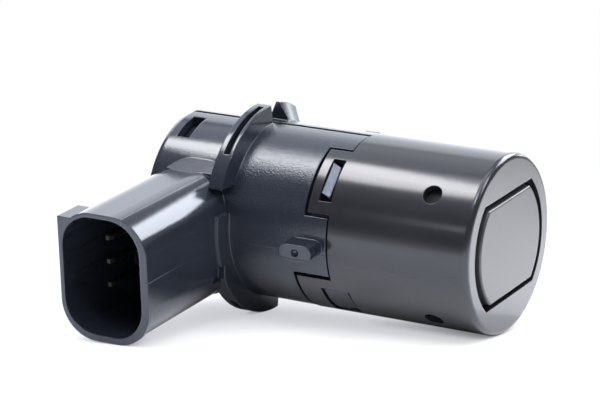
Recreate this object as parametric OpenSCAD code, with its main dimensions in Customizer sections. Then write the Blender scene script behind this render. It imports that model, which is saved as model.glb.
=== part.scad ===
// Parking sensor for a vehicle bumper: an ultrasonic transducer behind a round front ring,
// a barrel housing split along its length, a seat flange and a side socket for a plug.
// The barrel's axis is X. The front face is at x = 0 and looks along +X.
// The socket points along -Y and +Z is up. Sizes are in millimetres, angles in degrees.
// Angles round the barrel start at the socket side (-Y) and grow towards the top (+Z).

/* [Barrel] */
// Outside diameter of the barrel
barrel_d = 24.8; // [23:0.1:30]
// Length from the front face to the rear end
body_len = 50.3; // [48:0.1:60]
// Wall of the barrel behind the ring
barrel_wall = 1.6; // [1.2:0.1:2]
// Thickness of the rear end wall
end_wall = 1.6; // [1:0.1:3]
// Length of the shallow chamfer round the rear end
rear_chamfer = 0.6; // [0.3:0.1:1.5]
// Place of the split between housing and cover, measured across the axis
split_y = 0.7; // [0.4:0.1:1.5]
// Open gap along the split
seam_gap = 0.8; // [0.1:0.05:1]
// Radial play between pieces that nest
fit_gap = 0.1; // [0.05:0.01:0.2]

/* [Front ring] */
// Height of the ring's outside above the barrel's
ring_step = 0.1; // [0:0.05:0.3]
// Length of the ring, front face to rear edge
ring_len = 21.1; // [19:0.1:24]
// Wall of the ring
ring_wall = 1.3; // [1:0.1:1.6]
// Thickness of the ring's front face
ring_face_t = 1.6; // [1:0.1:2.5]
// Radius on the ring's front edge
ring_edge_r = 0.8; // [0.2:0.1:1.2]
// Open joint between the ring's rear edge and the barrel
ring_joint = 0.3; // [0.1:0.05:0.5]
// Diameter of the four side holes
side_hole_d = 2.7; // [1.5:0.1:4]
// Distance of the side holes from the front face
side_hole_x = 6.85; // [4:0.05:12]

/* [Snap tabs] */
// Angle where a tab starts
tab_from = 22; // [15:1:25]
// Angle where a tab ends
tab_to = 68; // [60:1:75]
// Length of the upper tabs behind the ring
upper_tab_len = 3.4; // [2.5:0.1:5]
// Length of the lower tabs behind the ring
lower_tab_len = 5.4; // [4:0.1:6]
// Bar between an upper tab's window and its end
upper_tab_bar = 1.35; // [0.8:0.05:2]
// Bar between a lower tab's window and its end
lower_tab_bar = 3.3; // [1:0.1:4]
// Length of an upper window
upper_window_len = 1.9; // [1.2:0.1:3]
// Length of a lower window
lower_window_len = 4.4; // [1.5:0.1:5]
// Solid edge of a tab on each side of its window
tab_edge = 8; // [6:0.5:14]
// Open gap round a tab
tab_gap = 0.5; // [0.2:0.05:0.8]
// Depth of an upper snap lug's crest below the outside of the barrel
wedge_drop = 0.25; // [0.2:0.05:0.8]
// Width of an upper snap lug, round the barrel
wedge_w = 4.8; // [3:0.1:6]
// Depth of a lower snap lug below the outside of the barrel
lug_drop = 0.1; // [0.05:0.05:0.6]

/* [Transducer] */
// Diameter of the sensing face
face_d = 18; // [16:0.1:18.6]
// Height of the sensing face between its flats
face_h = 13.2; // [11:0.1:14]
// Gap round the sensing face at its round sides
face_gap_round = 1.15; // [0.6:0.05:1.4]
// Gap at the flats of the sensing face
face_gap_flat = 0.8; // [0.4:0.05:1.2]
// Height of the sensing face above the ring
face_proud = 0.25; // [0:0.05:0.5]
// Edge radius of the sensing face
face_edge_r = 0.3; // [0.1:0.05:0.5]
// Thickness of the vibrating face
membrane_t = 0.85; // [0.6:0.05:1.2]
// Side wall of the cup
cup_wall = 1.6; // [1:0.1:2]
// Length of the cup behind the front face
cup_len = 8.5; // [6:0.1:9]
// Diameter of the piezo disc
piezo_d = 7; // [6:0.1:8]
// Thickness of the piezo disc
piezo_t = 0.4; // [0.2:0.05:0.6]
// Length of the damping pad
pad_len = 4.8; // [3:0.1:5]
// Length of the rubber ring that holds the cup
rubber_len = 8; // [6:0.1:9]
// Wall of the housing's neck inside the ring
neck_wall = 1.4; // [1:0.1:2]

/* [Seat flange] */
// Distance from the front face to the flange
flange_x = 36.9; // [33:0.1:38.5]
// Thickness of the flange at its rim
flange_t = 2.2; // [1.6:0.1:3]
// Outside diameter of the flange
flange_d = 29.8; // [28:0.1:33]
// Slope of the flange's front face, from its rim to its foot
flange_draft = 0.3; // [0:0.05:0.6]
// Width of the slot in the flange's rim
rim_slot_w = 0.95; // [0.5:0.05:1.2]
// Depth of the slot in the flange's rim
rim_slot_depth = 1.6; // [0.8:0.1:2]
// Angle where the rim slot starts
rim_slot_from = 46; // [40:1:60]
// Angle where the rim slot ends
rim_slot_to = 87; // [75:1:88]
// Start of the cover's ribs beside the split, across the axis
fin_y = 3.4; // [2:0.1:5]
// Sweep of each rib on the cover
fin_sweep = 16; // [10:1:55]

/* [Holder lugs] */
// Length of the side lug
boss_len = 5; // [4:0.1:6]
// Height of the side lug
boss_h = 2.25; // [1.6:0.05:3]
// Distance of the lug's middle from the front face
boss_x = 24.5; // [24:0.1:30]
// Height of the lug above the barrel
boss_proud = 3; // [1:0.1:4]
// Diameter of the dimple in the lug
dimple_d = 1.1; // [0.6:0.1:1.5]

/* [Socket] */
// Width of the socket along the barrel
socket_w = 14; // [12:0.1:15]
// Height of the socket
socket_h = 17.8; // [16:0.1:19]
// Corner radius of the socket
socket_r = 5.3; // [3:0.1:6]
// Wall of the socket above, below and at the rear
socket_wall = 0.6; // [0.5:0.05:1.2]
// Wall of the socket at the front
socket_front_wall = 1.1; // [0.8:0.05:1.6]
// Reach of the socket's mouth from the barrel's axis
socket_reach = 32; // [27:0.1:36]
// Depth of the socket from its mouth
socket_depth = 17; // [10:0.1:17.4]
// Distance of the socket's middle from the rear end
socket_back = 6.05; // [5.8:0.05:8]
// Height of the socket's middle below the barrel's axis
socket_drop = 1.28; // [0:0.02:2]
// Length of the corner ear at the mouth
ear_len = 5; // [3:0.1:8]
// Height of the lip under the mouth
mouth_lip = 0.3; // [0.1:0.02:0.6]

/* [Terminals] */
// Width of a terminal blade
blade_w = 1.2; // [0.8:0.05:1.6]
// Thickness of a terminal blade
blade_t = 0.6; // [0.4:0.05:0.8]
// Distance from one blade to the next
blade_pitch = 3.34; // [2.5:0.01:3.8]
// Offset of the blades from the socket's middle, towards the rear
blade_offset = 3.2; // [0:0.05:3.3]
// Distance of the blade tips behind the mouth
blade_setback = 6; // [3:0.1:8]

/* [Circuit board] */
// Length of the board
board_len = 27.8; // [26:0.1:30]
// Width of the board
board_w = 17; // [15:0.1:17.6]
// Thickness of the board
board_t = 1.2; // [0.8:0.1:1.6]
// Diameter of the piezo leads
lead_d = 0.6; // [0.4:0.05:0.8]
// Distance between the piezo leads
lead_pitch = 4; // [3:0.1:5]

/* [Hidden] */
$fn = 96;

// Lap that makes fused shapes and cuts overlap cleanly
lap = 0.5;
// A length beyond the whole part, for cuts that run through
past = 2 * body_len;

// Radii round the barrel's axis
barrel_r = barrel_d / 2;
bore_r = barrel_r - barrel_wall;
ring_r = barrel_r + ring_step;
ring_bore_r = ring_r - ring_wall;
neck_r = ring_bore_r - fit_gap;
neck_bore_r = neck_r - neck_wall;
flange_r = flange_d / 2;

// Stations along the axis, from the front to the rear
rubber_front_x = -ring_face_t - fit_gap / 2;
rubber_rear_x = rubber_front_x - rubber_len;
neck_front_x = rubber_rear_x - fit_gap / 2;
ring_rear_x = -ring_len - max(upper_tab_len, lower_tab_len);
shoulder_x = -ring_len - ring_joint;
bore_step_x = ring_rear_x - ring_joint - tab_gap - barrel_wall;
rear_x = -body_len;
cavity_rear_x = rear_x + end_wall;
// Depth of the rear chamfer, as a share of its length
rear_chamfer_share = 0.4;

// Middle of the slot in the flange's rim, a little in front of the rim's middle
rim_slot_shift = 0.18;
rim_slot_x = -flange_x - flange_t / 2 + rim_slot_shift;
// Sweep of the flange on each side of the socket, past the split on both ends
flange_half_sweep = 96;
// Heights of the notch in the flange
notch_low = 2.93;
notch_high = 6.5;
// Wedge section of the cover's ribs: crest behind the flange's front, foot before it
fin_tip_back = 0.55;
fin_tip_t = 0.45;
fin_foot_fore = 0.95;
// Extra sweep of a rib that is cut off square beside the split
fin_lead = 5;

// Edges of the two shells at the split
housing_edge_y = split_y - seam_gap / 2;
cover_edge_y = split_y + seam_gap / 2;

// Snap joint between the shells near the rear end
latch_from = 60;
latch_to = 83;
top_angle = 90;
latch_window_len = 2.1;
latch_sill = 0.15;
latch_window_x = cavity_rear_x + latch_sill;
latch_window_front_x = latch_window_x + latch_window_len;
latch_lug_rise = 0.4;
latch_margin = 2;
latch_play = 0.2;
// Tongue and latch arms of the cover, behind the housing's wall
lap_t = 1.2;
lap_r = bore_r - fit_gap;
lap_root_y = cover_edge_y + lap_t;
latch_arm_x = cavity_rear_x + latch_play;
latch_arm_len = 1;

// Shape of the transducer's cup and of the opening round it
face_r = face_d / 2;
face_half_h = face_h / 2;
opening_r = face_r + face_gap_round;
opening_half_h = face_half_h + face_gap_flat;
bond_gap = 0.03;
membrane_rear_x = face_proud - membrane_t;
piezo_rear_x = membrane_rear_x - piezo_t;

// Snap lugs
tab_gap_deg = tab_gap / barrel_r * 180 / PI;
lug_play = 0.3;
lug_play_deg = lug_play / barrel_r * 180 / PI;
lug_front_play = 0.5;
lug_ramp = 0.12;
lug_crest_share = 0.35;
wedge_angle = 46.5;
wedge_len = 0.65;
wedge_sink = 0.15;

// Socket and terminals
socket_x = rear_x + socket_back;
socket_floor_y = -socket_reach + socket_depth;
ramp_rise = 1.25;
ramp_run = 2.2;
ramp_inset = 2.35;
ramp_r = 4.6;
ear_drop = 1.1;
mouth_lip_len = 0.8;
relief_depth = 0.7;
relief_reach = 15.6;
relief_low = -6.4;
relief_w = 2.1;
blade_x = socket_x - blade_offset;
blade_tip_y = -socket_reach + blade_setback;
blade_tip_chamfer = 0.35;
blade_fit = 0.03;
blade_tail = 1.3;
blade_hole_play = 0.1;

// Corner radius of the side lug, as a share of its height
boss_corner_share = 0.48;

// Board and what stands on it
board_near_y = -board_t / 2;
board_far_y = board_t / 2;
board_end_play = 0.3;
board_rear_x = cavity_rear_x + board_end_play;
board_front_x = board_rear_x + board_len;
board_play = 0.05;
tongue_y = board_near_y + 2 * board_play;
ledge_w = 1.4;
ledge_h = 3;
ledge_len = 3.4;
ledge_setback = 3.6;
ledge_rear_x = board_rear_x + ledge_setback;
ledge_step_gap = 1;
ledge_front_x = bore_step_x - ledge_len - ledge_step_gap;
lead_y = board_near_y - lead_d / 2 - board_play;
lead_landing = 2.6;
lead_rear_x = board_front_x - lead_landing;
lead_hole_play = 0.15;
chip_w = 4;
chip_len = 10;
chip_h = 1.9;
chip_from_socket = 8.5;
chip_x = socket_x + chip_from_socket;
chip_leg_w = 0.45;
chip_leg_pitch = 1.27;
chip_legs = 7;
chip_leg_reach = 1;
chip_leg_t = 0.2;
chip_lift = 0.1;
transformer_w = 7;
transformer_h = 6;
transformer_setback = 3;
transformer_x = board_front_x - transformer_w / 2 - transformer_setback;
core_wall = 1;
core_post_r = 1.3;
winding_r = 2.3;
winding_play = 0.2;
small_part_l = 2;
small_part_w = 1.25;
capacitor_h = 1.2;
resistor_h = 0.5;
small_part_pitch = 2.4;
small_parts = 4;
tantalum = [3.5, 1.9, 2.8];
diode = [2.6, 2.1, 2.6];
block_gap = 0.9;
solder_r = 1.15;
solder_margin = 0.2;
solder_top_r = blade_w / 2 + solder_margin;
solder_h = 0.9;

// Colours of the materials
housing_colour = [0.11, 0.12, 0.14];
ring_colour = [0.16, 0.165, 0.18];
face_colour = [0.42, 0.43, 0.45];
rubber_colour = [0.04, 0.04, 0.045];
foam_colour = [0.75, 0.73, 0.68];
ceramic_colour = [0.82, 0.79, 0.7];
board_colour = [0.07, 0.3, 0.16];
epoxy_colour = [0.07, 0.07, 0.07];
ferrite_colour = [0.2, 0.2, 0.21];
copper_colour = [0.72, 0.42, 0.22];
tin_colour = [0.72, 0.72, 0.7];
tantalum_colour = [0.8, 0.55, 0.15];
lead_red = [0.6, 0.08, 0.07];
lead_black = [0.06, 0.06, 0.06];
capacitor_colour = [0.66, 0.56, 0.42];

// Turns a shape drawn along Z so that it runs along the barrel's axis
module along_axis() {
    rotate([0, 90, 0]) children();
}

// Full revolve of a section drawn as [radius, x]
module revolve() {
    along_axis() rotate_extrude() children();
}

// Part revolve of a section drawn as [radius, x], between two angles round the barrel
module sweep(from, to) {
    along_axis()
        rotate([0, 0, -(to + 90)])
            rotate_extrude(angle = to - from) children();
}

// Rectangular section between two radii and two stations
module band(r0, r1, x0, x1) {
    translate([r0, x0]) square([r1 - r0, x1 - x0]);
}

module both_sides() {
    children();
    mirror([0, 1, 0]) children();
}

module top_and_bottom() {
    children();
    mirror([0, 0, 1]) children();
}

// Round prism with two flats, from one station to another
module flat_sided_prism(r, half_h, x0, x1) {
    translate([x0, 0, 0])
        along_axis()
            linear_extrude(x1 - x0)
                intersection() {
                    circle(r);
                    square([2 * half_h, 2 * r], center = true);
                }
}

// Rectangle with round corners, centred
module round_rectangle(w, h, r) {
    square([w - 2 * r, h], center = true);
    square([w, h - 2 * r], center = true);
    for (sx = [-1, 1], sy = [-1, 1])
        translate([sx * (w / 2 - r), sy * (h / 2 - r)]) circle(r);
}

// Slides a section drawn in X and Z along the socket, from one y to another
module along_socket(y0, y1) {
    translate([socket_x, y1, -socket_drop])
        rotate([90, 0, 0])
            linear_extrude(y1 - y0) children();
}

// Half space on the socket's side of a plane across Y
module socket_side_of(y) {
    translate([-past, y - past, -past / 2]) cube([2 * past, past, past]);
}

module box(x0, x1, y0, y1, z0, z1) {
    translate([x0, y0, z0]) cube([x1 - x0, y1 - y0, z1 - z0]);
}

// Front ring: a tube with a face, cut away at its rear end so that four tabs are left
module ring_section() {
    difference() {
        union() {
            band(0, ring_r - ring_edge_r, ring_rear_x, 0);
            band(0, ring_r, ring_rear_x, -ring_edge_r);
            translate([ring_r - ring_edge_r, -ring_edge_r]) circle(ring_edge_r);
        }
        band(0, ring_bore_r, ring_rear_x - lap, -ring_face_t);
    }
}

// Cut through the ring's wall between two angles and two stations
module wall_cut(from, to, x0, x1) {
    sweep(from, to) band(ring_bore_r - lap, ring_r + lap, x0, x1);
}

module tab_trim(tab_len) {
    wall_cut(tab_from / 2, 90 - (90 - tab_to) / 2, ring_rear_x - lap, -ring_len - tab_len);
}

module tab_window(tab_len, bar, window_len) {
    window_rear_x = -ring_len - tab_len + bar;
    wall_cut(tab_from + tab_edge, tab_to - tab_edge, window_rear_x, window_rear_x + window_len);
}

module trim_ring() {
    color(ring_colour)
        difference() {
            revolve() ring_section();
            both_sides() {
                wall_cut(-tab_from, tab_from, ring_rear_x - lap, -ring_len);
                tab_trim(upper_tab_len);
                tab_window(upper_tab_len, upper_tab_bar, upper_window_len);
                mirror([0, 0, 1]) {
                    tab_trim(lower_tab_len);
                    tab_window(lower_tab_len, lower_tab_bar, lower_window_len);
                }
            }
            top_and_bottom() wall_cut(tab_to, 180 - tab_to, ring_rear_x - lap, -ring_len);
            flat_sided_prism(opening_r, opening_half_h, -ring_face_t - lap, lap);
            for (a = [45 : 90 : 315])
                rotate([a, 0, 0])
                    translate([-side_hole_x, 0, 0])
                        cylinder(d = side_hole_d, h = barrel_d);
        }
}

// Transducer: metal cup, piezo disc, damping pad and the rubber that holds them
// Round at the sides and flat above and below, with every front edge rounded
module cup_outside() {
    front_x = face_proud - face_edge_r;
    intersection() {
        revolve() {
            band(0, face_r, -cup_len, front_x);
            band(0, face_r - face_edge_r, -cup_len, face_proud);
            translate([face_r - face_edge_r, front_x]) circle(face_edge_r);
        }
        translate([0, face_d, 0])
            rotate([90, 0, 0])
                linear_extrude(2 * face_d) {
                    translate([-cup_len, -face_half_h]) square([cup_len + front_x, face_h]);
                    translate([-cup_len, -face_half_h + face_edge_r])
                        square([cup_len + face_proud, face_h - 2 * face_edge_r]);
                    for (side = [-1, 1])
                        translate([front_x, side * (face_half_h - face_edge_r)])
                            circle(face_edge_r);
                }
    }
}

module transducer_cup() {
    color(face_colour)
        difference() {
            cup_outside();
            flat_sided_prism(
                face_r - cup_wall, face_half_h - cup_wall, -cup_len - lap, membrane_rear_x
            );
        }
}

module piezo_disc() {
    color(ceramic_colour)
        translate([piezo_rear_x, 0, 0])
            along_axis() cylinder(d = piezo_d, h = piezo_t);
}

// Two round ways for the leads, of a given diameter
module lead_ways(d, x0, x1) {
    for (side = [-1, 1])
        translate([x0, lead_y, side * lead_pitch / 2])
            along_axis() cylinder(d = d, h = x1 - x0);
}

module damping_pad() {
    color(foam_colour)
        difference() {
            flat_sided_prism(
                face_r - cup_wall - bond_gap, face_half_h - cup_wall - bond_gap,
                piezo_rear_x - bond_gap - pad_len, piezo_rear_x - bond_gap
            );
            lead_ways(lead_d + 2 * lead_hole_play, piezo_rear_x - pad_len - lap, lap);
        }
}

module decoupling_ring() {
    color(rubber_colour)
        difference() {
            translate([rubber_rear_x, 0, 0])
                along_axis() cylinder(r = ring_bore_r - fit_gap, h = rubber_len);
            flat_sided_prism(
                face_r + bond_gap, face_half_h + bond_gap,
                rubber_rear_x - lap, rubber_front_x + lap
            );
        }
}

module lead(side) {
    translate([lead_rear_x, lead_y, side * lead_pitch / 2])
        along_axis() cylinder(d = lead_d, h = piezo_rear_x - bond_gap - lead_rear_x);
}

module signal_lead() {
    color(lead_red) lead(1);
}

module ground_lead() {
    color(lead_black) lead(-1);
}

// Wall of the split barrel, as a section for a revolve
module shell_section() {
    polygon([
        [neck_bore_r, neck_front_x],
        [neck_r, neck_front_x],
        [neck_r, shoulder_x],
        [barrel_r, shoulder_x],
        [barrel_r, rear_x + rear_chamfer],
        [barrel_r - rear_chamfer_share * rear_chamfer, rear_x],
        [0, rear_x],
        [0, cavity_rear_x],
        [bore_r, cavity_rear_x],
        [bore_r, bore_step_x],
        [neck_bore_r, bore_step_x + bore_r - neck_bore_r]
    ]);
}

module barrel_cavity() {
    revolve()
        polygon([
            [0, neck_front_x + lap],
            [neck_bore_r, neck_front_x + lap],
            [neck_bore_r, bore_step_x + bore_r - neck_bore_r],
            [bore_r, bore_step_x],
            [bore_r, cavity_rear_x],
            [0, cavity_rear_x]
        ]);
}

// Recess under a tab, cut from the outside of the barrel
module tab_recess(tab_len) {
    sweep(tab_from - tab_gap_deg, tab_to + tab_gap_deg)
        band(neck_r, barrel_r + lap, -ring_len - tab_len - tab_gap, shoulder_x + lap);
}

// Lug in an upper window: a flat wedge, steep at the rear and ramped towards the front
module upper_lug() {
    lug_rear_x = -ring_len - upper_tab_len + upper_tab_bar + fit_gap;
    rotate([180 - wedge_angle, 0, 0])
        linear_extrude(wedge_w, center = true)
            polygon([
                [lug_rear_x, neck_r - lap],
                [lug_rear_x, barrel_r - wedge_drop],
                [lug_rear_x + wedge_len, neck_r - wedge_sink],
                [lug_rear_x + wedge_len, neck_r - lap]
            ]);
}

// Lug in a lower window: nearly flush at the rear and gently ramped towards the front
module lower_lug() {
    lug_rear_x = -ring_len - lower_tab_len + lower_tab_bar + lug_play;
    lug_front_x = lug_rear_x + lower_window_len - lug_play - lug_front_play;
    mirror([0, 0, 1])
        sweep(tab_from + tab_edge + lug_play_deg, tab_to - tab_edge - lug_play_deg)
            polygon([
                [neck_r - lap, lug_rear_x],
                [barrel_r - lug_drop, lug_rear_x],
                [barrel_r - lug_drop, lug_rear_x + lug_crest_share * lower_window_len],
                [barrel_r - lug_drop - lug_ramp, lug_front_x],
                [neck_r - lap, lug_front_x]
            ]);
}

module tab_recesses() {
    both_sides() {
        tab_recess(upper_tab_len);
        mirror([0, 0, 1]) tab_recess(lower_tab_len);
    }
}

module snap_lugs() {
    both_sides() {
        upper_lug();
        lower_lug();
    }
}

// Whole barrel wall with its tab recesses and lugs, before it is split
module barrel_wall_all_round() {
    difference() {
        revolve() shell_section();
        tab_recesses();
    }
    snap_lugs();
}

// Lug on the barrel's side with a dimple at its middle
module holder_boss() {
    translate([-boss_x, -barrel_r - boss_proud, 0])
        rotate([-90, 0, 0])
            difference() {
                linear_extrude(boss_proud + lap)
                    round_rectangle(boss_len, boss_h, boss_corner_share * boss_h);
                sphere(d = dimple_d);
            }
}

// Seat flange on the housing, with a slot in the rim of each lobe and a notch over the
// socket's front corner
module seat_flange() {
    flange_foot_x = -flange_x + flange_draft;
    difference() {
        sweep(-flange_half_sweep, flange_half_sweep)
            polygon([
                [bore_r + lap, flange_foot_x],
                [barrel_r, flange_foot_x],
                [flange_r, -flange_x],
                [flange_r, -flange_x - flange_t],
                [bore_r + lap, -flange_x - flange_t]
            ]);
        top_and_bottom()
            sweep(rim_slot_from, rim_slot_to)
                band(
                    flange_r - rim_slot_depth, flange_r + lap,
                    rim_slot_x - rim_slot_w / 2, rim_slot_x + rim_slot_w / 2
                );
        box(
            -flange_x - flange_t - lap, flange_foot_x + lap, -flange_d, 0, notch_low, notch_high
        );
    }
}

// Rib on the cover that carries on the flange with a wedge section
module cover_fin() {
    fin_from = 90 + asin(fin_y / barrel_r);
    difference() {
        sweep(fin_from - fin_lead, fin_from + fin_sweep)
            polygon([
                [bore_r + lap, -flange_x - flange_t],
                [bore_r + lap, -flange_x + fin_foot_fore],
                [barrel_r, -flange_x + fin_foot_fore],
                [flange_r, -flange_x - fin_tip_back],
                [flange_r, -flange_x - fin_tip_back - fin_tip_t],
                [barrel_r, -flange_x - flange_t]
            ]);
        socket_side_of(fin_y);
    }
}

// Outside of the plug socket, with the ramp that runs up to the barrel
module socket_outside() {
    along_socket(-socket_reach, 0) round_rectangle(socket_w, socket_h, socket_r);
    socket_top = socket_h / 2 - socket_drop;
    ramp_foot_y = -sqrt(barrel_r * barrel_r - pow(socket_top + ramp_rise, 2)) - ramp_run;
    difference() {
        along_socket(ramp_foot_y, 0)
            translate([ramp_inset / 2, ramp_rise / 2])
                round_rectangle(socket_w - ramp_inset, socket_h + ramp_rise, ramp_r);
        translate([socket_x, ramp_foot_y, socket_top])
            rotate([atan2(ramp_rise, ramp_run), 0, 0])
                translate([-socket_w, -past / 2, 0]) cube([2 * socket_w, past, past]);
    }
    translate([socket_x - socket_w / 2, -socket_reach, socket_top - socket_r])
        cube([socket_r, ear_len, socket_r - ear_drop]);
    along_socket(-socket_reach, -socket_reach + mouth_lip_len)
        translate([0, -mouth_lip]) round_rectangle(socket_w, socket_h, socket_r);
}

module socket_inside() {
    along_socket(-socket_reach - lap, socket_floor_y)
        translate([(socket_wall - socket_front_wall) / 2, 0])
            round_rectangle(
                socket_w - socket_wall - socket_front_wall, socket_h - 2 * socket_wall,
                socket_r - socket_wall
            );
}

// Small relief where the flange's lower lobe leaves the socket's front wall
module root_relief() {
    front_wall_x = socket_x + socket_w / 2;
    box(
        front_wall_x - relief_depth, front_wall_x + past, -relief_reach, -relief_reach + relief_w,
        relief_low, relief_low + relief_w
    );
}

// Window near the rear end where the cover's latch shows
module latch_window() {
    sweep(latch_from, latch_to)
        band(bore_r - lap, barrel_r + lap, latch_window_x, latch_window_front_x);
}

// Ledges for the board, on the socket's side of it
module board_ledges() {
    for (x0 = [ledge_rear_x, ledge_front_x])
        top_and_bottom()
            intersection() {
                box(
                    x0, x0 + ledge_len, board_near_y - ledge_h, board_near_y,
                    board_w / 2 - ledge_w, barrel_r
                );
                translate([rear_x, 0, 0])
                    along_axis() cylinder(r = bore_r + lap, h = body_len);
            }
}

module main_housing() {
    color(housing_colour) {
        difference() {
            union() {
                intersection() {
                    union() {
                        barrel_wall_all_round();
                        seat_flange();
                    }
                    socket_side_of(housing_edge_y);
                }
                difference() {
                    socket_outside();
                    barrel_cavity();
                }
                holder_boss();
            }
            socket_inside();
            root_relief();
            top_and_bottom() latch_window();
            for (place = [-1, 0, 1]) blade(place, blade_fit);
        }
        board_ledges();
    }
}

// Latch of the cover: an arm inside the housing's wall with a lug in the window
module cover_latch() {
    sweep(latch_from - latch_margin, top_angle)
        band(lap_r - lap_t, lap_r, latch_arm_x, latch_arm_x + latch_arm_len);
    sweep(latch_from + latch_margin, latch_to - latch_margin)
        band(
            lap_r - lap, lap_r + latch_lug_rise,
            latch_window_x + latch_play, latch_arm_x + latch_arm_len
        );
    lap_joint(latch_arm_x, latch_arm_x + latch_arm_len, housing_edge_y - lap);
}

// Part of the cover's inner rim at the top: it reaches past the split behind the housing
// and is as one with the cover's own wall beyond the split
module lap_joint(x0, x1, reach_y) {
    difference() {
        revolve() band(lap_r - lap_t, bore_r + lap, x0, x1);
        translate([-past, lap_root_y, -past / 2]) cube([2 * past, past, past]);
        socket_side_of(reach_y);
        translate([-past, -past / 2, -past]) cube([2 * past, past, past]);
        intersection() {
            revolve() band(lap_r, barrel_r, x0 - lap, x1 + lap);
            socket_side_of(cover_edge_y);
        }
    }
}

module housing_cover() {
    color(housing_colour) {
        difference() {
            union() {
                barrel_wall_all_round();
                mirror([0, 1, 0]) holder_boss();
                top_and_bottom() cover_fin();
            }
            socket_side_of(cover_edge_y);
        }
        top_and_bottom() {
            cover_latch();
            lap_joint(latch_arm_x, bore_step_x, tongue_y);
        }
        mirror([0, 1, 0]) translate([0, -board_play, 0]) board_ledges();
    }
}

// One terminal blade, grown by a given play on every side
module blade(place, play) {
    half_w = blade_w / 2 + play;
    tip_y = blade_tip_y - play;
    translate([blade_x, 0, -socket_drop + place * blade_pitch - blade_t / 2 - play])
        linear_extrude(blade_t + 2 * play)
            polygon([
                [-half_w + blade_tip_chamfer, tip_y],
                [half_w - blade_tip_chamfer, tip_y],
                [half_w, tip_y + 2 * blade_tip_chamfer],
                [half_w, board_far_y + blade_tail + play],
                [-half_w, board_far_y + blade_tail + play],
                [-half_w, tip_y + 2 * blade_tip_chamfer]
            ]);
}

module supply_terminal() {
    color(tin_colour) blade(1, 0);
}

module signal_terminal() {
    color(tin_colour) blade(0, 0);
}

module ground_terminal() {
    color(tin_colour) blade(-1, 0);
}

module circuit_board() {
    color(board_colour)
        difference() {
            box(
                board_rear_x, board_front_x, board_near_y, board_far_y,
                -board_w / 2, board_w / 2
            );
            for (place = [-1, 0, 1]) blade(place, blade_hole_play);
        }
}

// Driver chip on the board's socket side, with legs along both edges
module signal_chip() {
    color(epoxy_colour) {
        box(
            chip_x - chip_w / 2, chip_x + chip_w / 2,
            board_near_y - chip_h, board_near_y - chip_lift, -chip_len / 2, chip_len / 2
        );
        for (i = [0 : chip_legs - 1], side = [-1, 1])
            translate([
                chip_x + side * (chip_w / 2 + chip_leg_reach / 2), board_near_y,
                (i - (chip_legs - 1) / 2) * chip_leg_pitch
            ]) {
                translate([0, -chip_leg_t / 2, 0])
                    cube([chip_leg_reach, chip_leg_t, chip_leg_w], center = true);
                translate([-side * chip_leg_reach / 2, -chip_h / 3, 0])
                    cube([chip_leg_t, 2 * chip_h / 3, chip_leg_w], center = true);
            }
    }
}

// Pulse transformer on the board's cover side: ferrite core and its winding
module transformer_core() {
    color(ferrite_colour)
        difference() {
            box(
                transformer_x - transformer_w / 2, transformer_x + transformer_w / 2,
                board_far_y, board_far_y + transformer_h,
                -transformer_w / 2, transformer_w / 2
            );
            translate([transformer_x, board_far_y + core_wall, 0])
                rotate([-90, 0, 0])
                    difference() {
                        union() {
                            cylinder(r = winding_r + winding_play, h = transformer_h - 2 * core_wall);
                            translate([-winding_r, -transformer_w, 0])
                                cube([
                                    2 * winding_r, 2 * transformer_w,
                                    transformer_h - 2 * core_wall
                                ]);
                        }
                        cylinder(r = core_post_r, h = transformer_h);
                    }
        }
}

module transformer_winding() {
    color(copper_colour)
        translate([transformer_x, board_far_y + core_wall + board_play, 0])
            rotate([-90, 0, 0])
                difference() {
                    cylinder(r = winding_r, h = transformer_h - 2 * core_wall - 2 * board_play);
                    translate([0, 0, -lap])
                        cylinder(r = core_post_r + board_play, h = transformer_h);
                }
}

// Row of small parts on the board's cover side
module small_part_row(x, z, h) {
    for (i = [0 : small_parts - 1])
        translate([x + (i - (small_parts - 1) / 2) * small_part_pitch, board_far_y, z])
            translate([-small_part_w / 2, 0, -small_part_l / 2])
                cube([small_part_w, h, small_part_l]);
}

module ceramic_capacitors() {
    color(capacitor_colour) small_part_row(chip_x, board_w / 4, capacitor_h);
}

module chip_resistors() {
    color(epoxy_colour) small_part_row(chip_x, -board_w / 4, resistor_h);
}

module tantalum_capacitor() {
    color(tantalum_colour)
        translate([chip_x - block_gap / 2 - tantalum.x, board_far_y, -tantalum.z / 2])
            cube(tantalum);
}

module protection_diode() {
    color(epoxy_colour)
        translate([chip_x + block_gap / 2, board_far_y, -diode.z / 2]) cube(diode);
}

// Solder round the terminals on the cover side and round the ends of the piezo leads
module solder_joints() {
    color(tin_colour) {
        difference() {
            for (place = [-1, 0, 1])
                translate([blade_x, board_far_y, -socket_drop + place * blade_pitch])
                    rotate([-90, 0, 0])
                        cylinder(r1 = solder_r, r2 = solder_top_r, h = solder_h);
            for (place = [-1, 0, 1]) blade(place, blade_fit);
        }
        for (side = [-1, 1])
            translate([lead_rear_x - bond_gap, board_near_y, side * lead_pitch / 2])
                rotate([90, 0, 0])
                    translate([-solder_r, 0, 0])
                        cylinder(r1 = solder_r, r2 = solder_r / 2, h = lead_d);
    }
}

trim_ring();
transducer_cup();
piezo_disc();
damping_pad();
decoupling_ring();
signal_lead();
ground_lead();
main_housing();
housing_cover();
circuit_board();
signal_chip();
transformer_core();
transformer_winding();
ceramic_capacitors();
chip_resistors();
tantalum_capacitor();
protection_diode();
supply_terminal();
signal_terminal();
ground_terminal();
solder_joints();
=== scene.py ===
import math

import bmesh
import bpy
from mathutils import Matrix, Vector


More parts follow.
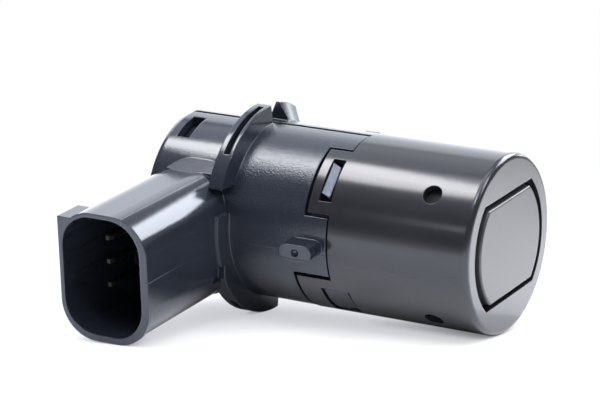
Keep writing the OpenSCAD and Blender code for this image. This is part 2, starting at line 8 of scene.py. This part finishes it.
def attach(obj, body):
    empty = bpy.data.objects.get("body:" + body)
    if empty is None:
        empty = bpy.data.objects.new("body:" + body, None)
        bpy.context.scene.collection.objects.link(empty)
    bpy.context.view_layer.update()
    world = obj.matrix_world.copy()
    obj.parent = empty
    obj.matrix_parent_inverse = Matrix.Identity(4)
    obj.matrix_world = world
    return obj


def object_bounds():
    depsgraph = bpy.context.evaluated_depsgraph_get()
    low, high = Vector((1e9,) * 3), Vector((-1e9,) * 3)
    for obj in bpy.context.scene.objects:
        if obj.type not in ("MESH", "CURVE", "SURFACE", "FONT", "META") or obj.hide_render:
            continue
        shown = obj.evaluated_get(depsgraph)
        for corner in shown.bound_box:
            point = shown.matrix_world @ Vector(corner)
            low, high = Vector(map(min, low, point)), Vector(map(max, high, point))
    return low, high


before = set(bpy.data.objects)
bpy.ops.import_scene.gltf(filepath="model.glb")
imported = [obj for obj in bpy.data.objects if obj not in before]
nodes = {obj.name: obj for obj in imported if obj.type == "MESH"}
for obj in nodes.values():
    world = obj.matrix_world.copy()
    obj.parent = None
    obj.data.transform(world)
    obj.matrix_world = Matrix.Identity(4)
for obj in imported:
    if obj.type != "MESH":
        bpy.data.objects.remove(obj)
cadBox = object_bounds()
mm = 0.001
print("frame loaded:", len(nodes), "solids")


# sRGB hex to linear, for every colour below
def linear(hexColour):
    channels = [int(hexColour[i:i + 2], 16) / 255 for i in (1, 3, 5)]
    return [c / 12.92 if c <= 0.04045 else ((c + 0.055) / 1.055) ** 2.4 for c in channels] + [1.0]


# one node: its settings, its socket values and its links
def addNode(tree, kind, values=None, links=None, **settings):
    node = tree.nodes.new(kind)
    for name, value in settings.items():
        setattr(node, name, value)
    for socket, value in (values or {}).items():
        node.inputs[socket].default_value = value
    for socket, source in (links or {}).items():
        tree.links.new(source, node.inputs[socket])
    return node


def newMaterial(name):
    material = bpy.data.materials.new(name)
    material.use_nodes = True
    tree = material.node_tree
    return material, tree, tree.nodes["Principled BSDF"]


def dress(material, *names):
    for name in names:
        nodes[name].data.materials.clear()
        nodes[name].data.materials.append(material)


# the camera stands low beside the socket, with a long lens
viewpoint = {
    "place": Vector((162.84, -327.45, 129.01)) * mm,
    "aim": Vector((-35.146, 4.417, 0)) * mm,
    "roll": math.radians(1.762),
    "lens": 172.54,
    "sensor": 36,
    "nearest": 0.01,
}


def makeCamera(look):
    camera = bpy.data.objects.new("camera", bpy.data.cameras.new("camera"))
    bpy.context.scene.collection.objects.link(camera)
    facing = (look["aim"] - look["place"]).to_track_quat("-Z", "Y").to_matrix()
    turned = facing @ Matrix.Rotation(-look["roll"], 3, "Z")
    camera.matrix_world = Matrix.Translation(look["place"]) @ turned.to_4x4()
    camera.data.lens = look["lens"]
    camera.data.sensor_width = look["sensor"]
    camera.data.clip_start = look["nearest"]
    bpy.context.scene.camera = camera


makeCamera(viewpoint)
print("camera placed")

# the sensor lies on its ring, its flange and the lip of its socket
resting = {
    "firstUp": Vector((-0.066, 0.159, 0.985)),
    "flangeFrom": -40 * mm,
    "flangeTo": -36.5 * mm,
    "mouthDepth": 1 * mm,
    "rounds": 4,
}


def restPlane(look):
    ring = [v.co for v in nodes["trim_ring"].data.vertices]
    housing = [v.co for v in nodes["main_housing"].data.vertices]
    mouth = min(p.y for p in housing)
    flange = [p for p in housing if look["flangeFrom"] < p.x < look["flangeTo"]]
    lip = [p for p in housing if p.y < mouth + look["mouthDepth"]]
    up = look["firstUp"]
    for _ in range(look["rounds"]):
        feet = [min(points, key=lambda p: p.dot(up)) for points in (ring, flange, lip)]
        up = (feet[1] - feet[0]).cross(feet[2] - feet[0]).normalized()
        up = up if up.z > 0 else -up
    return feet[0], up


floorFoot, floorUp = restPlane(resting)
viewForward = (viewpoint["aim"] - viewpoint["place"]).normalized()
levelForward = (viewForward - viewForward.dot(floorUp) * floorUp).normalized()
levelRight = levelForward.cross(floorUp)
centre = (cadBox[0] + cadBox[1]) / 2
print("floor tilt", [round(n, 4) for n in floorUp])

# white card floor that runs to pure white away from the sensor, with a painted shadow that greys it
# towards the contacts
floorLook = {
    "colour": "#f2f2f4", "roughness": 0.9, "gloss": 0.1, "size": 4.0, "samples": 8,
    "contact": 12 * mm, "shade": "#d2d5dc", "open": "#ffffff", "openAt": 0.65, "shadow": 0.2,
    "touch": 2.5 * mm, "touchOpen": 0.25, "touchDark": 0.3,
    "mirrored": 0.5, "mirroredFrom": 0.10, "mirroredTo": 0.38,
    "shadeFrom": 0.07, "shadeTo": 0.17,
}


def makeFloor(look):
    mesh = bpy.data.meshes.new("floor")
    bm = bmesh.new()
    bmesh.ops.create_grid(bm, x_segments=1, y_segments=1, size=look["size"] / 2)
    turn = Vector((0, 0, 1)).rotation_difference(floorUp).to_matrix().to_4x4()
    bmesh.ops.transform(bm, matrix=Matrix.Translation(floorFoot) @ turn, verts=bm.verts)
    bm.to_mesh(mesh)
    bm.free()
    floor = bpy.data.objects.new("floor", mesh)
    bpy.context.scene.collection.objects.link(floor)
    material, tree, shader = newMaterial("white card")
    shader.inputs["Base Color"].default_value = linear(look["colour"])
    shader.inputs["Roughness"].default_value = look["roughness"]
    shader.inputs["Specular IOR Level"].default_value = look["gloss"]
    place = addNode(tree, "ShaderNodeNewGeometry").outputs["Position"]
    reach = addNode(
        tree, "ShaderNodeVectorMath", {1: centre}, {0: place}, operation="DISTANCE"
    ).outputs["Value"]
    away = addNode(
        tree, "ShaderNodeMapRange",
        {"From Min": look["shadeFrom"], "From Max": look["shadeTo"]}, {"Value": reach},
        interpolation_type="SMOOTHSTEP",
    ).outputs["Result"]
    white = addNode(tree, "ShaderNodeEmission", {"Strength": 1.0}).outputs["Emission"]
    rays = addNode(tree, "ShaderNodeLightPath").outputs
    openness = addNode(
        tree, "ShaderNodeAmbientOcclusion", {"Distance": look["contact"]}, samples=look["samples"]
    ).outputs["AO"]
    # what the camera sees: the lit card under a glow that greys towards the contact, a painted shadow
    # that is darkest where the sensor touches
    fade = addNode(
        tree, "ShaderNodeMapRange", {"From Max": look["openAt"]}, {"Value": openness}
    ).outputs["Result"]
    tint = addNode(
        tree, "ShaderNodeMix", {"A": linear(look["shade"]), "B": linear(look["open"])},
        {"Factor": fade}, data_type="RGBA",
    ).outputs["Result"]
    touch = addNode(
        tree, "ShaderNodeAmbientOcclusion", {"Distance": look["touch"]}, samples=look["samples"]
    ).outputs["AO"]
    strength = addNode(
        tree, "ShaderNodeMapRange", {"From Max": look["touchOpen"], "To Min": look["touchDark"]},
        {"Value": touch},
    ).outputs["Result"]
    paintedShadowGlow = addNode(
        tree, "ShaderNodeEmission", links={"Color": tint, "Strength": strength}
    ).outputs["Emission"]
    lit = addNode(
        tree, "ShaderNodeMixShader", {"Fac": look["shadow"]}, {1: paintedShadowGlow, 2: shader.outputs["BSDF"]}
    ).outputs["Shader"]
    # what the sensor mirrors: the lit card with a painted glow added and a painted dark contact
    opened = addNode(
        tree, "ShaderNodeMapRange",
        {"From Min": look["mirroredFrom"], "From Max": look["mirroredTo"]}, {"Value": openness},
        interpolation_type="SMOOTHSTEP",
    ).outputs["Result"]
    paintedMirrorGlow = addNode(tree, "ShaderNodeEmission", {"Strength": look["mirrored"]}).outputs["Emission"]
    card = addNode(
        tree, "ShaderNodeAddShader", links={0: shader.outputs["BSDF"], 1: paintedMirrorGlow}
    ).outputs["Shader"]
    image = addNode(tree, "ShaderNodeMixShader", links={"Fac": opened, 2: card}).outputs["Shader"]
    near = addNode(
        tree, "ShaderNodeMixShader", links={"Fac": rays["Is Camera Ray"], 1: image, 2: lit}
    ).outputs["Shader"]
    seen = addNode(
        tree, "ShaderNodeMixShader", links={"Fac": away, 1: near, 2: white}
    ).outputs["Shader"]
    shown = addNode(
        tree, "ShaderNodeMath", links={0: rays["Is Camera Ray"], 1: rays["Is Glossy Ray"]},
        operation="MAXIMUM",
    ).outputs["Value"]
    shownToo = addNode(
        tree, "ShaderNodeMath", links={0: shown, 1: rays["Is Transmission Ray"]},
        operation="MAXIMUM",
    ).outputs["Value"]
    both = addNode(
        tree, "ShaderNodeMixShader",
        links={"Fac": shownToo, 1: shader.outputs["BSDF"], 2: seen},
    ).outputs["Shader"]
    tree.links.new(both, tree.nodes["Material Output"].inputs["Surface"])
    mesh.materials.append(material)


makeFloor(floorLook)

# a white ceiling over a dim room
worldLook = {"colour": "#eef3ff", "walls": 0.25, "ceiling": 1.0, "from": 0.45, "to": 0.85}


def makeWorld(look):
    world = bpy.data.worlds.new("studio")
    world.use_nodes = True
    bpy.context.scene.world = world
    tree = world.node_tree
    fill = tree.nodes["Background"]
    fill.inputs["Color"].default_value = linear(look["colour"])
    toward = addNode(tree, "ShaderNodeTexCoord").outputs["Generated"]
    height = addNode(
        tree, "ShaderNodeVectorMath", {1: floorUp}, {0: toward}, operation="DOT_PRODUCT"
    ).outputs["Value"]
    level = addNode(
        tree, "ShaderNodeMapRange",
        {"From Min": look["from"], "From Max": look["to"],
         "To Min": look["walls"], "To Max": look["ceiling"]},
        {"Value": height}, interpolation_type="SMOOTHSTEP",
    ).outputs["Result"]
    tree.links.new(level, fill.inputs["Strength"])
    white = addNode(tree, "ShaderNodeBackground", {"Strength": 1.0, "Color": (1, 1, 1, 1)})
    rays = addNode(tree, "ShaderNodeLightPath").outputs
    seen = addNode(
        tree, "ShaderNodeMixShader",
        links={"Fac": rays["Is Camera Ray"], 1: fill.outputs[0], 2: white.outputs[0]},
    )
    tree.links.new(seen.outputs[0], tree.nodes["World Output"].inputs["Surface"])


makeWorld(worldLook)


# a level direction by its azimuth: straight behind the sensor is 0, its right is 90
def levelAt(azimuth):
    across = math.radians(azimuth)
    return math.cos(across) * levelForward + math.sin(across) * levelRight


# softboxes by their place round an aim; the one at -90 is the bright floor before the ring's face
ringFace = Vector((0, 0, 0))
softboxes = {
    "leftKey": {"aim": centre, "azimuth": -89, "elevation": 63, "distance": 0.42,
                "size": (0.17, 0.11), "radiance": 14, "colour": "#fff9f2"},
    "rightKey": {"aim": centre, "azimuth": 54, "elevation": 36, "distance": 0.40,
                 "size": (0.26, 0.165), "radiance": 10.5, "colour": "#fbfcff"},
    "top": {"aim": centre, "azimuth": -22, "elevation": 60, "distance": 0.50,
            "size": (0.30, 0.18), "radiance": 0.8, "colour": "#f4f8ff"},
    "overhead": {"aim": centre, "azimuth": 180, "elevation": 80, "distance": 0.50,
                 "size": (0.50, 0.40), "radiance": 2.5, "colour": "#f8faff"},
    "back": {"aim": centre, "azimuth": 2, "elevation": 22, "distance": 0.60,
             "size": (0.90, 0.50), "radiance": 1.7, "colour": "#f4f8ff"},
    "lugLight": {"aim": centre, "azimuth": 174, "elevation": 56, "distance": 0.45,
                 "size": (0.10, 0.10), "radiance": 18, "colour": "#f7f5ff"},
    "faceFloor": {"aim": ringFace + 0.1315 * levelAt(64), "azimuth": 55, "elevation": -90,
                  "distance": 0.0122, "size": (0.065, 0.24), "radiance": 0.9, "colour": "#fdfdff"},
    "finLight": {"aim": centre, "azimuth": 45, "elevation": 13, "distance": 0.40,
                 "size": (0.08, 0.05), "radiance": 6, "colour": "#fbfcff"},
    "rightEdge": {"aim": centre, "azimuth": 110, "elevation": 40, "distance": 0.40,
                  "size": (0.12, 0.16), "radiance": 8, "colour": "#fbfcff"},
    "glint": {"aim": ringFace, "azimuth": -127, "elevation": 21, "distance": 0.40,
              "size": (0.04, 0.03), "radiance": 5, "colour": "#ffffff"},
}


def makeSoftbox(name, look):
    level, rise = levelAt(look["azimuth"]), math.radians(look["elevation"])
    away = math.cos(rise) * level + math.sin(rise) * floorUp
    data = bpy.data.lights.new(name, "AREA")
    data.shape = "RECTANGLE"
    data.size, data.size_y = look["size"]
    # a lamp's power is four times its radiance on each square metre
    data.energy = 4 * look["radiance"] * data.size * data.size_y
    data.color = linear(look["colour"])[:3]
    lamp = bpy.data.objects.new(name, data)
    bpy.context.scene.collection.objects.link(lamp)
    # long side level, shining at its aim
    side = level.cross(floorUp)
    turn = Matrix((side, away.cross(side), away)).transposed().to_4x4()
    lamp.matrix_world = Matrix.Translation(look["aim"] + look["distance"] * away) @ turn
    lamp.visible_camera = False


for name, look in softboxes.items():
    makeSoftbox(name, look)
print("floor, world and", len(softboxes), "softboxes made")

# rays that round each edge in the light, and the octaves of the tone and of the grain
edgeSamples = 6
flowDetail = 3.0
grainDetail = 2.0


# moulded, coated or cast skin: slow tone changes, fine grain and lit edges
def skinMaterial(name, look):
    material, tree, shader = newMaterial(name)
    place = addNode(tree, "ShaderNodeTexCoord").outputs["Object"]
    flow = addNode(
        tree, "ShaderNodeTexNoise", {"Scale": 1 / look["flow"], "Detail": flowDetail}, {"Vector": place}
    ).outputs["Fac"]
    tone = addNode(
        tree, "ShaderNodeMix", {"A": linear(look["deep"]), "B": linear(look["colour"])},
        {"Factor": flow}, data_type="RGBA",
    ).outputs["Result"]
    tree.links.new(tone, shader.inputs["Base Color"])
    smooth, rough = look["roughness"]
    gloss = addNode(
        tree, "ShaderNodeMapRange", {"To Min": smooth, "To Max": rough}, {"Value": flow}
    ).outputs["Result"]
    tree.links.new(gloss, shader.inputs["Roughness"])
    grain = addNode(
        tree, "ShaderNodeTexNoise", {"Scale": 1 / look["grain"], "Detail": grainDetail},
        {"Vector": place},
    ).outputs["Fac"]
    edge = addNode(
        tree, "ShaderNodeBevel", {"Radius": look["edge"]}, samples=edgeSamples
    ).outputs["Normal"]
    bump = addNode(
        tree, "ShaderNodeBump", {"Distance": look["depth"], "Strength": 1.0},
        {"Height": grain, "Normal": edge},
    ).outputs["Normal"]
    tree.links.new(bump, shader.inputs["Normal"])
    for socket, value in look.get("shader", {}).items():
        shader.inputs[socket].default_value = value
    return material


# the scale at which a wave texture's bands repeat at this pitch
def waveScale(pitch):
    return math.pi / 10 / pitch


# small part with tinned ends: past half its body, across one axis, the skin turns to metal
def endedMaterial(name, look):
    material = skinMaterial(name, look)
    tree = material.node_tree
    shader = tree.nodes["Principled BSDF"]
    axis, middle, half = look["ends"]
    place = addNode(tree, "ShaderNodeTexCoord").outputs["Object"]
    along = addNode(tree, "ShaderNodeSeparateXYZ", links={"Vector": place}).outputs[axis]
    off = addNode(
        tree, "ShaderNodeMath", {1: middle}, {0: along}, operation="SUBTRACT"
    ).outputs["Value"]
    far = addNode(tree, "ShaderNodeMath", links={0: off}, operation="ABSOLUTE").outputs["Value"]
    ends = addNode(
        tree, "ShaderNodeMath", {1: half}, {0: far}, operation="GREATER_THAN"
    ).outputs["Value"]
    body = shader.inputs["Base Color"].links[0].from_socket
    tone = addNode(
        tree, "ShaderNodeMix", {"B": linear(look["tin"])}, {"A": body, "Factor": ends},
        data_type="RGBA",
    ).outputs["Result"]
    tree.links.new(tone, shader.inputs["Base Color"])
    tree.links.new(ends, shader.inputs["Metallic"])
    return material


# glass-filled PBT: near black with a cool satin sheen, a speckle of fine grain on the barrel, coarser
# than the real one so that it shows, and the mould's parting lines as hairlines along the socket
housingLook = {
    "colour": "#20242c", "deep": "#191c22", "roughness": (0.11, 0.16),
    "grain": 0.22 * mm, "depth": 0.04 * mm, "barrelHaze": 0.03, "flow": 5 * mm, "edge": 0.26 * mm,
    "grainFrom": -37 * mm, "grainTo": -36 * mm, "grainOut": 12.6 * mm, "socketGrain": 0.15,
    "partings": (("X", -41 * mm, "Z", 5 * mm), ("Z", -0.93 * mm, "X", -37.6 * mm)),
    "partingEnd": -11.5 * mm, "partingHalf": 0.1 * mm, "partingRise": 0.03 * mm,
    "shader": {"IOR": 1.5, "Specular Tint": linear("#e6f0ff")},
}


def housingMaterial(name, look):
    material = skinMaterial(name, look)
    tree = material.node_tree
    shader = tree.nodes["Principled BSDF"]
    place = addNode(tree, "ShaderNodeTexCoord").outputs["Object"]
    along = addNode(tree, "ShaderNodeSeparateXYZ", links={"Vector": place}).outputs
    ahead = addNode(
        tree, "ShaderNodeMapRange", {"From Min": look["grainFrom"], "From Max": look["grainTo"]},
        {"Value": along["X"]},
    ).outputs["Result"]
    across = addNode(
        tree, "ShaderNodeVectorMath", {1: (0, 1, 1)}, {0: place}, operation="MULTIPLY"
    ).outputs["Vector"]
    radius = addNode(
        tree, "ShaderNodeVectorMath", links={0: across}, operation="LENGTH"
    ).outputs["Value"]
    within = addNode(
        tree, "ShaderNodeMath", {1: look["grainOut"]}, {0: radius}, operation="LESS_THAN"
    ).outputs["Value"]
    onBarrel = addNode(
        tree, "ShaderNodeMath", links={0: ahead, 1: within}, operation="MULTIPLY"
    ).outputs["Value"]
    share = addNode(
        tree, "ShaderNodeMapRange", {"To Min": look["socketGrain"]}, {"Value": onBarrel}
    ).outputs["Result"]
    tree.links.new(share, tree.nodes["Bump"].inputs["Strength"])
    haze = addNode(
        tree, "ShaderNodeMath", {1: look["barrelHaze"]}, {0: onBarrel}, operation="MULTIPLY"
    ).outputs["Value"]
    rough = addNode(
        tree, "ShaderNodeMath", links={0: shader.inputs["Roughness"].links[0].from_socket, 1: haze}
    ).outputs["Value"]
    tree.links.new(rough, shader.inputs["Roughness"])
    onSocket = addNode(
        tree, "ShaderNodeMath", {1: look["partingEnd"]}, {0: along["Y"]}, operation="LESS_THAN"
    ).outputs["Value"]
    normal = shader.inputs["Normal"].links[0].from_socket
    # each line: the axis it is found on and where, and the axis and place it lies beyond
    for axis, line, guard, start in look["partings"]:
        off = addNode(
            tree, "ShaderNodeMath", {1: line}, {0: along[axis]}, operation="SUBTRACT"
        ).outputs["Value"]
        far = addNode(tree, "ShaderNodeMath", links={0: off}, operation="ABSOLUTE").outputs["Value"]
        ridge = addNode(
            tree, "ShaderNodeMapRange", {"From Max": look["partingHalf"], "To Min": 1.0, "To Max": 0.0},
            {"Value": far},
        ).outputs["Result"]
        beyond = addNode(
            tree, "ShaderNodeMath", {1: start}, {0: along[guard]}, operation="GREATER_THAN"
        ).outputs["Value"]
        there = addNode(
            tree, "ShaderNodeMath", links={0: beyond, 1: onSocket}, operation="MULTIPLY"
        ).outputs["Value"]
        height = addNode(
            tree, "ShaderNodeMath", links={0: ridge, 1: there}, operation="MULTIPLY"
        ).outputs["Value"]
        normal = addNode(
            tree, "ShaderNodeBump", {"Distance": look["partingRise"]},
            {"Height": height, "Normal": normal},
        ).outputs["Normal"]
    tree.links.new(normal, shader.inputs["Normal"])
    return material


housingPlastic = housingMaterial("glass-filled PBT, satin", housingLook)
dress(housingPlastic, "main_housing", "housing_cover")

# snap lugs in the upper windows: a slanted ramp from each lug's crest towards the front
rampLook = {
    "angle": math.radians(46.5), "half": 2.42 * mm, "rear": -23.07 * mm, "front": -21.85 * mm,
    "crest": 12.17 * mm, "toe": 11.6 * mm, "foot": 10.7 * mm, "slant": 0.4 * mm, "edge": 0.06 * mm,
}


def makeRamps(look):
    mesh = bpy.data.meshes.new("upper_lug_ramps")
    bm = bmesh.new()
    outward = Vector((0, -math.cos(look["angle"]), math.sin(look["angle"])))
    down = Vector((0, -math.sin(look["angle"]), -math.cos(look["angle"])))
    profile = (("rear", "foot", 0), ("rear", "crest", 0), ("front", "toe", 1), ("front", "foot", 1))
    end = [
        bm.verts.new(
            Vector((look[station], 0, 0)) + look[height] * outward
            + (slanted * look["slant"] - look["half"]) * down
        )
        for station, height, slanted in profile
    ]
    grown = bmesh.ops.extrude_face_region(bm, geom=[bm.faces.new(end)], use_keep_orig=True)["geom"]
    across = [part for part in grown if isinstance(part, bmesh.types.BMVert)]
    bmesh.ops.translate(bm, vec=2 * look["half"] * down, verts=across)
    bmesh.ops.bevel(
        bm, geom=bm.edges[:], offset=look["edge"], segments=2, profile=0.5, material=-1, affect="EDGES"
    )
    bmesh.ops.mirror(bm, geom=bm.verts[:] + bm.edges[:] + bm.faces[:], axis="Y", merge_dist=0)
    bmesh.ops.recalc_face_normals(bm, faces=bm.faces)
    bm.to_mesh(mesh)
    bm.free()
    mesh.materials.append(housingPlastic)
    ramps = bpy.data.objects.new("upper_lug_ramps", mesh)
    bpy.context.scene.collection.objects.link(ramps)
    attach(ramps, "root")


makeRamps(rampLook)

# PA6 from a polished mould: smoother and more neutral, with a slow waviness in its streaks
ringLook = {
    "colour": "#202124", "deep": "#1a1b1e", "roughness": (0.15, 0.20),
    "grain": 1.1 * mm, "depth": 0.004 * mm, "flow": 7 * mm, "edge": 0.14 * mm,
    "shader": {"IOR": 1.47, "Specular Tint": linear("#f0f4ff")},
}
dress(skinMaterial("PA6, polished", ringLook), "trim_ring")

# deep-drawn aluminium cup in a satin grey coat, even and fine
cupLook = {
    "colour": "#343537", "deep": "#2e2f32", "roughness": (0.34, 0.40),
    "grain": 0.10 * mm, "depth": 0.002 * mm, "flow": 9 * mm, "edge": 0.12 * mm,
    "shader": {"IOR": 1.47},
}
dress(skinMaterial("aluminium, grey coat", cupLook), "transducer_cup")
print("outside dressed")

# silicone rubber: soft black that swallows the light in the gap round the face
rubberLook = {
    "colour": "#121213", "deep": "#0c0c0d", "roughness": (0.62, 0.75),
    "grain": 0.2 * mm, "depth": 0.01 * mm, "flow": 4 * mm, "edge": 0.1 * mm,
}
dress(skinMaterial("silicone rubber, matt", rubberLook), "decoupling_ring")

# polyurethane compound: black with a soft shine, set in the seam between the shells
beadLook = {
    "colour": "#17181a", "deep": "#101113", "roughness": (0.36, 0.5),
    "grain": 0.7 * mm, "depth": 0.05 * mm, "flow": 3 * mm, "edge": 0.15 * mm,
    "front": -21.6 * mm, "rear": -49.75 * mm, "outer": 11.75 * mm, "thick": 0.55 * mm,
    "from": 0.28 * mm, "to": 1.12 * mm, "crown": 0.16 * mm,
}


def makeSeamBead(look):
    mesh = bpy.data.meshes.new("seam_bead")
    bm = bmesh.new()
    inner, wall = look["outer"] - look["thick"], look["rear"] + look["thick"]
    run = (
        (look["front"], look["outer"]), (look["rear"], look["outer"]),
        (look["rear"], -look["outer"]), (look["front"], -look["outer"]),
        (look["front"], -inner), (wall, -inner), (wall, inner), (look["front"], inner),
    )
    side = bm.faces.new([bm.verts.new((x, look["from"], z)) for x, z in run])
    grown = bmesh.ops.extrude_face_region(bm, geom=[side], use_keep_orig=True)["geom"]
    across = [part for part in grown if isinstance(part, bmesh.types.BMVert)]
    bmesh.ops.translate(bm, vec=(0, look["to"] - look["from"], 0), verts=across)
    bmesh.ops.bevel(
        bm, geom=bm.edges[:], offset=look["crown"], segments=2, profile=0.5, material=-1, affect="EDGES"
    )
    bmesh.ops.recalc_face_normals(bm, faces=bm.faces)
    bm.to_mesh(mesh)
    bm.free()
    mesh.materials.append(skinMaterial("polyurethane compound, black", look))
    bead = bpy.data.objects.new("seam_bead", mesh)
    bpy.context.scene.collection.objects.link(bead)
    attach(bead, "root")


makeSeamBead(beadLook)

# tin over brass: warm grey metal with a fine grain, its colour darkened as painted shade for the depth
# of the socket
terminalShadedLook = {
    "colour": "#524f4b", "deep": "#3b3936", "roughness": (0.42, 0.55),
    "grain": 0.08 * mm, "depth": 0.003 * mm, "flow": 1.5 * mm, "edge": 0.08 * mm,
    "shader": {"Metallic": 1.0},
}
dress(
    skinMaterial("tinned brass, painted shade", terminalShadedLook),
    "supply_terminal", "signal_terminal", "ground_terminal",
)

# fired piezo ceramic: chalky cream with a fine speckle
piezoLook = {
    "colour": "#d9cfb8", "deep": "#c4b89d", "roughness": (0.5, 0.65),
    "grain": 0.06 * mm, "depth": 0.004 * mm, "flow": 0.5 * mm, "edge": 0.05 * mm,
}
dress(skinMaterial("piezo ceramic", piezoLook), "piezo_disc")

# open damping foam: pale and deeply pitted
foamLook = {
    "colour": "#cfc9bb", "deep": "#948d7e", "roughness": (0.85, 0.95),
    "grain": 0.35 * mm, "depth": 0.2 * mm, "flow": 0.6 * mm, "edge": 0.2 * mm,
}
dress(skinMaterial("damping foam", foamLook), "damping_pad")

# PVC insulation of the leads: even colour with a low sheen
redLook = {
    "colour": "#a81a14", "deep": "#8e130f", "roughness": (0.38, 0.48),
    "grain": 0.12 * mm, "depth": 0.004 * mm, "flow": 2 * mm, "edge": 0.05 * mm,
}
dress(skinMaterial("PVC, red", redLook), "signal_lead")
blackLook = {**redLook, "colour": "#161617", "deep": "#0f0f10"}
dress(skinMaterial("PVC, black", blackLook), "ground_lead")

# MnZn ferrite: ground dark grey with a fine mottle
ferriteLook = {
    "colour": "#3a3a3e", "deep": "#27272a", "roughness": (0.42, 0.6),
    "grain": 0.08 * mm, "depth": 0.01 * mm, "flow": 0.4 * mm, "edge": 0.1 * mm,
}
dress(skinMaterial("MnZn ferrite", ferriteLook), "transformer_core")

# bright solder: clean metal that takes the colour of what is round it
solderLook = {
    "colour": "#d6d6d3", "deep": "#b4b4b0", "roughness": (0.18, 0.32),
    "grain": 0.25 * mm, "depth": 0.01 * mm, "flow": 0.7 * mm, "edge": 0.1 * mm,
    "shader": {"Metallic": 1.0},
}
dress(skinMaterial("tin solder", solderLook), "solder_joints")

# moulded epoxy of the small parts: matt black, with tinned legs or ends
chipLook = {
    "colour": "#1d1d1e", "deep": "#151516", "roughness": (0.5, 0.62), "tin": "#b9b9b4",
    "grain": 0.05 * mm, "depth": 0.006 * mm, "flow": 1.5 * mm, "edge": 0.08 * mm,
    "ends": ("X", -35.75 * mm, 2.01 * mm),
}
dress(endedMaterial("moulded epoxy, chip", chipLook), "signal_chip")
resistorLook = {**chipLook, "ends": ("Z", -4.25 * mm, 0.65 * mm)}
dress(endedMaterial("resistor glaze, black", resistorLook), "chip_resistors")
diodeLook = {**chipLook, "ends": ("X", -34 * mm, 1.15 * mm)}
dress(endedMaterial("moulded epoxy, diode", diodeLook), "protection_diode")

# fired capacitor body: tan ceramic between tinned ends
capacitorLook = {
    **chipLook, "colour": "#a88a60", "deep": "#957850", "roughness": (0.36, 0.5),
    "ends": ("Z", 4.25 * mm, 0.65 * mm),
}
dress(endedMaterial("capacitor ceramic", capacitorLook), "ceramic_capacitors")

# tantalum moulding: ochre with tin at both ends
tantalumLook = {
    **chipLook, "colour": "#d28f22", "deep": "#bd7d18", "roughness": (0.4, 0.52),
    "ends": ("X", -37.95 * mm, 1.5 * mm),
}
dress(endedMaterial("tantalum moulding", tantalumLook), "tantalum_capacitor")

# enamelled copper: turns of fine wire, each one a bright line
windingLook = {
    "colour": "#a5562c", "deep": "#8a431f", "roughness": (0.25, 0.35),
    "grain": 0.4 * mm, "depth": 0.002 * mm, "flow": 1 * mm, "edge": 0.05 * mm,
    "turn": 0.16 * mm, "turnDepth": 0.05 * mm, "shader": {"Metallic": 1.0},
}


def windingMaterial(name, look):
    material = skinMaterial(name, look)
    tree = material.node_tree
    shader = tree.nodes["Principled BSDF"]
    place = addNode(tree, "ShaderNodeTexCoord").outputs["Object"]
    turns = addNode(
        tree, "ShaderNodeTexWave", {"Scale": waveScale(look["turn"])}, {"Vector": place},
        bands_direction="Y",
    ).outputs["Fac"]
    wire = addNode(
        tree, "ShaderNodeBump", {"Distance": look["turnDepth"]},
        {"Height": turns, "Normal": shader.inputs["Normal"].links[0].from_socket},
    ).outputs["Normal"]
    tree.links.new(wire, shader.inputs["Normal"])
    return material


dress(windingMaterial("enamelled copper", windingLook), "transformer_winding")

# FR4 under green mask: glossy, with the glass weave just telling through
boardLook = {
    "colour": "#17613a", "deep": "#124e2e", "roughness": (0.2, 0.3),
    "grain": 0.3 * mm, "depth": 0.002 * mm, "flow": 3 * mm, "edge": 0.08 * mm,
    "weave": 0.5 * mm, "weaveDepth": 0.006 * mm,
}


def boardMaterial(name, look):
    material = skinMaterial(name, look)
    tree = material.node_tree
    shader = tree.nodes["Principled BSDF"]
    place = addNode(tree, "ShaderNodeTexCoord").outputs["Object"]
    warp, weft = (
        addNode(
            tree, "ShaderNodeTexWave", {"Scale": waveScale(look["weave"])}, {"Vector": place},
            bands_direction=direction,
        ).outputs["Fac"]
        for direction in ("X", "Z")
    )
    cloth = addNode(
        tree, "ShaderNodeMath", links={0: warp, 1: weft}, operation="MULTIPLY"
    ).outputs["Value"]
    weave = addNode(
        tree, "ShaderNodeBump", {"Distance": look["weaveDepth"]},
        {"Height": cloth, "Normal": shader.inputs["Normal"].links[0].from_socket},
    ).outputs["Normal"]
    tree.links.new(weave, shader.inputs["Normal"])
    return material


dress(boardMaterial("FR4, green mask", boardLook), "circuit_board")
print("inside dressed")

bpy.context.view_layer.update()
scene = bpy.context.scene
scene.view_settings.view_transform = "Standard"
